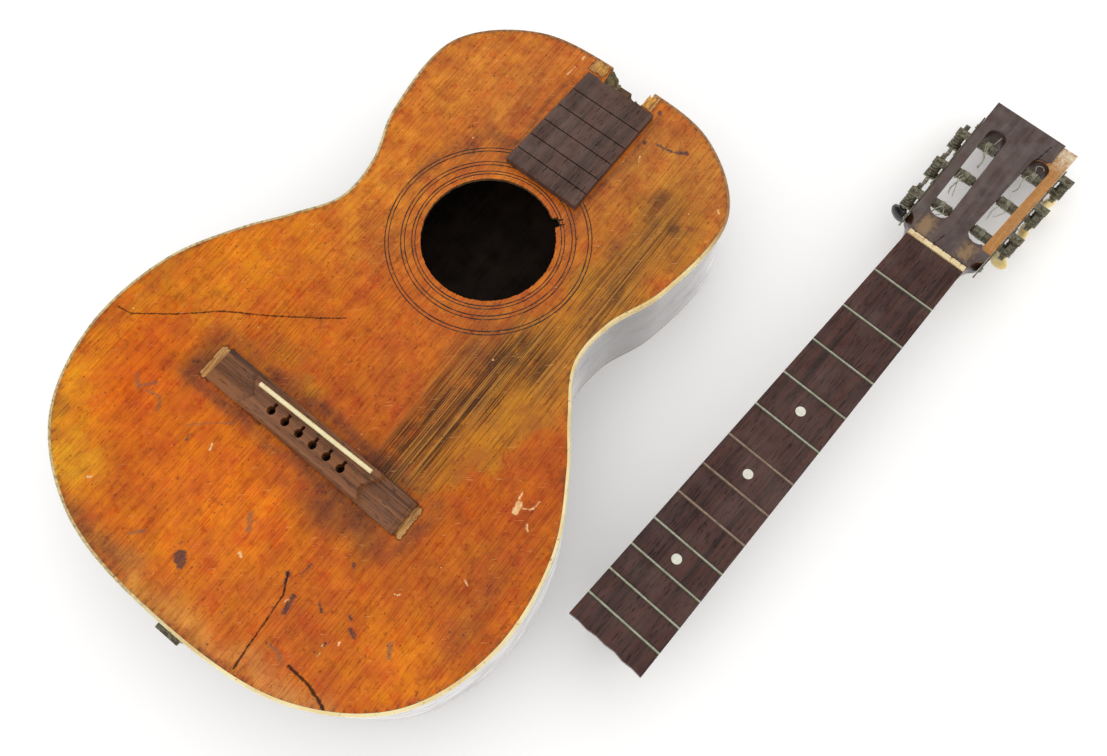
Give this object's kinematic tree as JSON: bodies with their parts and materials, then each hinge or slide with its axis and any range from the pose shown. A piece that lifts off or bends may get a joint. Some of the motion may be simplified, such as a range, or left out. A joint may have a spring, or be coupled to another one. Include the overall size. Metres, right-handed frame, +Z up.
{
  "type": "broken guitar",
  "caption": "Old parlour guitar broken in two: a body with its soundhole, bridge and the torn end of the fingerboard, and beside it the neck with frets and slotted head",
  "frame": {"origin": "On the table, on the outer face of the body's flat back, on the body's centre line and under the saddle line", "axes": "+X towards the treble side, where the broken neck lies; +Y along the body from the tail to the neck end; +Z up, out of the soundboard"},
  "size_m": [0.4418, 0.6303, 0.0959],
  "materials": {
    "spruce_top": "worn amber varnish, semi-gloss, dirty",
    "rosette_black": "blackened inlay, dull",
    "dark_ribs": "dark gloss varnish",
    "cream_binding": "yellowed, semi-gloss",
    "raw_wood": "unfinished",
    "fingerboard": "dry dark wood, worn satin",
    "bridge_wood": "dry dark wood, worn satin",
    "bone": "yellowed bone, satin",
    "fret_metal": "worn, tarnished at the ends",
    "pearl": "pearly",
    "neck_wood": "brown varnish, semi-gloss, worn",
    "tuner_metal": "corroded, rough",
    "button_black": "glossy",
    "button_cream": "yellowed, semi-gloss"
  },
  "bodies": {
    "guitar": {"soundboard": "spruce_top", "rosette_outer_ring": "rosette_black", "rosette_middle_ring": "rosette_black", "rosette_inner_ring": "rosette_black", "back": "dark_ribs", "rib_bass": "dark_ribs", "rib_treble": "dark_ribs", "top_binding": "cream_binding", "top_lining": "raw_wood", "back_lining": "raw_wood", "neck_block": "raw_wood", "tail_block": "raw_wood", "top_brace_upper": "raw_wood", "top_brace_middle": "raw_wood", "top_brace_lower": "raw_wood", "back_brace_upper": "raw_wood", "back_brace_middle": "raw_wood", "back_brace_lower": "raw_wood", "bridge_plate": "raw_wood", "fingerboard_extension": "fingerboard", "head_veneer": "fingerboard", "fingerboard": "fingerboard", "bridge": "bridge_wood", "saddle": "bone", "nut": "bone", "tail_bracket": "tuner_metal", "tuner_plate_bass": "tuner_metal", "tuner_plate_treble": "tuner_metal", "neck": "neck_wood", "fret_01": "fret_metal", "fret_02": "fret_metal", "fret_03": "fret_metal", "fret_04": "fret_metal", "fret_05": "fret_metal", "fret_06": "fret_metal", "fret_07": "fret_metal", "fret_08": "fret_metal", "fret_09": "fret_metal", "fret_10": "fret_metal", "fret_11": "fret_metal", "fret_12": "fret_metal", "dot_fifth": "pearl", "dot_seventh": "pearl", "dot_tenth": "pearl"},
    "worm_bass_1": {"worm_bass_1": "tuner_metal", "button_bass_1": "button_black"},
    "gear_bass_1": {"gear_bass_1": "tuner_metal"},
    "worm_bass_2": {"worm_bass_2": "tuner_metal"},
    "gear_bass_2": {"gear_bass_2": "tuner_metal"},
    "worm_bass_3": {"worm_bass_3": "tuner_metal"},
    "gear_bass_3": {"gear_bass_3": "tuner_metal"},
    "worm_treble_1": {"worm_treble_1": "tuner_metal", "button_treble_1": "button_cream"},
    "gear_treble_1": {"gear_treble_1": "tuner_metal"},
    "worm_treble_2": {"worm_treble_2": "tuner_metal", "button_treble_2": "button_cream"},
    "gear_treble_2": {"gear_treble_2": "tuner_metal"},
    "worm_treble_3": {"worm_treble_3": "tuner_metal", "button_treble_3": "button_cream"},
    "gear_treble_3": {"gear_treble_3": "tuner_metal"}
  },
  "joints": [
    {"name": "turn_worm_bass_1", "type": "hinge", "parent": "guitar", "child": "worm_bass_1", "pos_m": [0.19669, 0.37202, 0.04118], "axis": [0.0138, 0.1989, 0.9799], "continuous": true},
    {"name": "turn_roller_bass_1", "type": "hinge", "parent": "guitar", "child": "gear_bass_1", "pos_m": [0.19698, 0.3801, 0.03953], "axis": [0.9993, -0.0365, -0.0067], "continuous": true},
    {"name": "turn_worm_bass_2", "type": "hinge", "parent": "guitar", "child": "worm_bass_2", "pos_m": [0.1979, 0.4063, 0.0342], "axis": [0.0138, 0.1989, 0.9799], "continuous": true},
    {"name": "turn_roller_bass_2", "type": "hinge", "parent": "guitar", "child": "gear_bass_2", "pos_m": [0.19819, 0.41438, 0.03256], "axis": [0.9993, -0.0365, -0.0067], "continuous": true},
    {"name": "turn_worm_bass_3", "type": "hinge", "parent": "guitar", "child": "worm_bass_3", "pos_m": [0.19911, 0.44057, 0.02723], "axis": [0.0138, 0.1989, 0.9799], "continuous": true},
    {"name": "turn_roller_bass_3", "type": "hinge", "parent": "guitar", "child": "gear_bass_3", "pos_m": [0.19939, 0.44866, 0.02559], "axis": [0.9993, -0.0365, -0.0067], "continuous": true},
    {"name": "turn_worm_treble_1", "type": "hinge", "parent": "guitar", "child": "worm_treble_1", "pos_m": [0.26799, 0.38327, 0.03789], "axis": [0.0138, 0.1989, 0.9799], "continuous": true},
    {"name": "turn_roller_treble_1", "type": "hinge", "parent": "guitar", "child": "gear_treble_1", "pos_m": [0.26715, 0.37522, 0.03953], "axis": [0.9947, -0.1022, 0.0067], "continuous": true},
    {"name": "turn_worm_treble_2", "type": "hinge", "parent": "guitar", "child": "worm_treble_2", "pos_m": [0.27154, 0.41738, 0.03091], "axis": [0.0138, 0.1989, 0.9799], "continuous": true},
    {"name": "turn_roller_treble_2", "type": "hinge", "parent": "guitar", "child": "gear_treble_2", "pos_m": [0.2707, 0.40934, 0.03256], "axis": [0.9947, -0.1022, 0.0067], "continuous": true},
    {"name": "turn_worm_treble_3", "type": "hinge", "parent": "guitar", "child": "worm_treble_3", "pos_m": [0.27509, 0.4515, 0.02394], "axis": [0.0138, 0.1989, 0.9799], "continuous": true},
    {"name": "turn_roller_treble_3", "type": "hinge", "parent": "guitar", "child": "gear_treble_3", "pos_m": [0.27425, 0.44345, 0.02559], "axis": [0.9947, -0.1022, 0.0067], "continuous": true}
  ],
  "couplings": [
    {"joint": "turn_roller_bass_1", "follows": "turn_worm_bass_1", "ratio": 0.083333},
    {"joint": "turn_roller_bass_2", "follows": "turn_worm_bass_2", "ratio": 0.083333},
    {"joint": "turn_roller_bass_3", "follows": "turn_worm_bass_3", "ratio": 0.083333},
    {"joint": "turn_roller_treble_1", "follows": "turn_worm_treble_1", "ratio": -0.083333},
    {"joint": "turn_roller_treble_2", "follows": "turn_worm_treble_2", "ratio": -0.083333},
    {"joint": "turn_roller_treble_3", "follows": "turn_worm_treble_3", "ratio": -0.083333}
  ]
}
